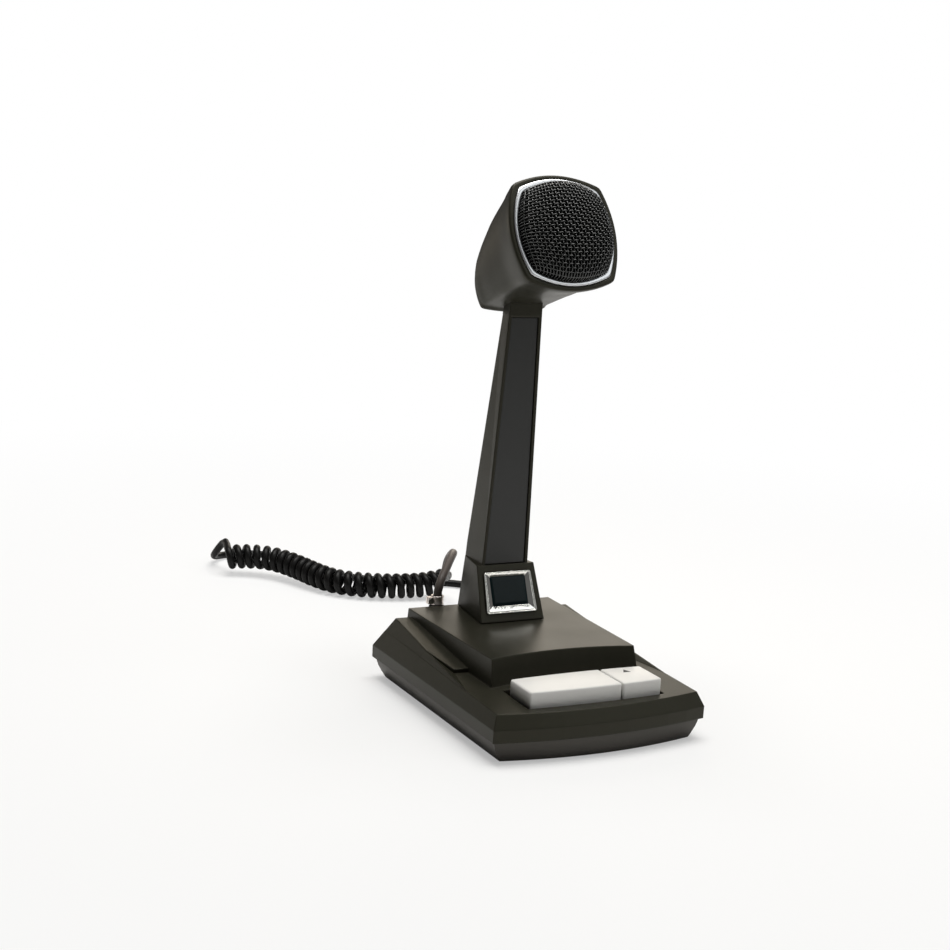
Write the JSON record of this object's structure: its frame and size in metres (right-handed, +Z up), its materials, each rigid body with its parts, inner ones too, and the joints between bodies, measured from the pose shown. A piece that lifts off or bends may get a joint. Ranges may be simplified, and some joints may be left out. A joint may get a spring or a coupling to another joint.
{
  "type": "desk microphone",
  "caption": "Desk microphone with a press-to-talk bar in a heavy base, a tapered stem, a tilted head with a domed woven grille, and a curly cord ending in a round plug.",
  "frame": {"origin": "centre of the base's outline, on the desk", "axes": "+Z up; -Y towards the talk bar and the speaker; +X to the right as seen from the front"},
  "size_m": [0.1443, 0.3668, 0.2466],
  "materials": {
    "shell": "satin moulded",
    "inner_plastic": "plain moulded",
    "ivory": "satin moulded",
    "ring_metal": "satin",
    "mesh_wire": "black lacquered wire",
    "foam": "open foam",
    "badge_metal": "polished",
    "badge_glass": "gloss",
    "screw_steel": "plated",
    "ballast": "as cast",
    "board": "lacquered board",
    "part_black": "moulded",
    "trimmer": "moulded",
    "cell": "printed can, bare",
    "rubber": "soft",
    "cord": "satin jacket",
    "capsule": "satin",
    "plug_metal": "satin",
    "socket_body": "moulded"
  },
  "bodies": {
    "base": {"badge_face": "badge_glass", "badge_frame": "badge_metal", "ballast_plate": "ballast", "base_cover": "shell", "base_pan": "inner_plastic", "battery": "cell", "battery_door": "inner_plastic", "battery_door_screw": "screw_steel", "capsule_boot": "rubber", "capsule_lead": "cord", "case_screw_1": "screw_steel", "case_screw_2": "screw_steel", "case_screw_3": "screw_steel", "case_screw_4": "screw_steel", "circuit_board": "board", "cord_bushing": "rubber", "cord_clamp": "badge_metal", "cord_clamp_screw": "screw_steel", "cord_curls": "cord", "cord_lead": "cord", "cord_tail": "cord", "foot_1": "rubber", "foot_2": "rubber", "foot_3": "rubber", "foot_4": "rubber", "grille_foam": "foam", "grille_mesh": "mesh_wire", "head_ring": "ring_metal", "head_shell": "shell", "hinge_pin": "screw_steel", "microphone_capsule": "capsule", "plug_shell": "plug_metal", "plug_sockets": "socket_body", "return_spring": "screw_steel", "stem_column": "shell", "stem_front_panel": "shell", "stem_screw_1": "screw_steel", "stem_screw_2": "screw_steel", "talk_switch": "part_black"},
    "talk_bar": {"talk_bar": "ivory"},
    "lock": {"lock_slide": "ivory"},
    "gain": {"gain_rotor": "trimmer"},
    "plug_coupling": {"plug_ring": "plug_metal"}
  },
  "joints": [
    {"name": "talk_bar_press", "type": "hinge", "parent": "base", "child": "talk_bar", "pos_m": [0, -0.02075, 0.0156], "axis": [1, 0, 0], "range_deg": [0, 4.8], "stiffness_Nm_per_rad": 0.16, "springref_deg": -4.93, "deforming": ["return_spring"]},
    {"name": "lock_shift", "type": "slide", "parent": "talk_bar", "child": "lock", "axis": [0, 1, 0], "range_m": [0, 0.003]},
    {"name": "gain_turn", "type": "hinge", "parent": "base", "child": "gain", "pos_m": [0.01985, -0.01471, 0.002], "axis": [0, 0, 1], "range_deg": [0, 300]},
    {"name": "plug_ring_turn", "type": "hinge", "parent": "base", "child": "plug_coupling", "pos_m": [0.0192, 0.08825, 0.0093], "axis": [1, 0, 0], "continuous": true}
  ]
}
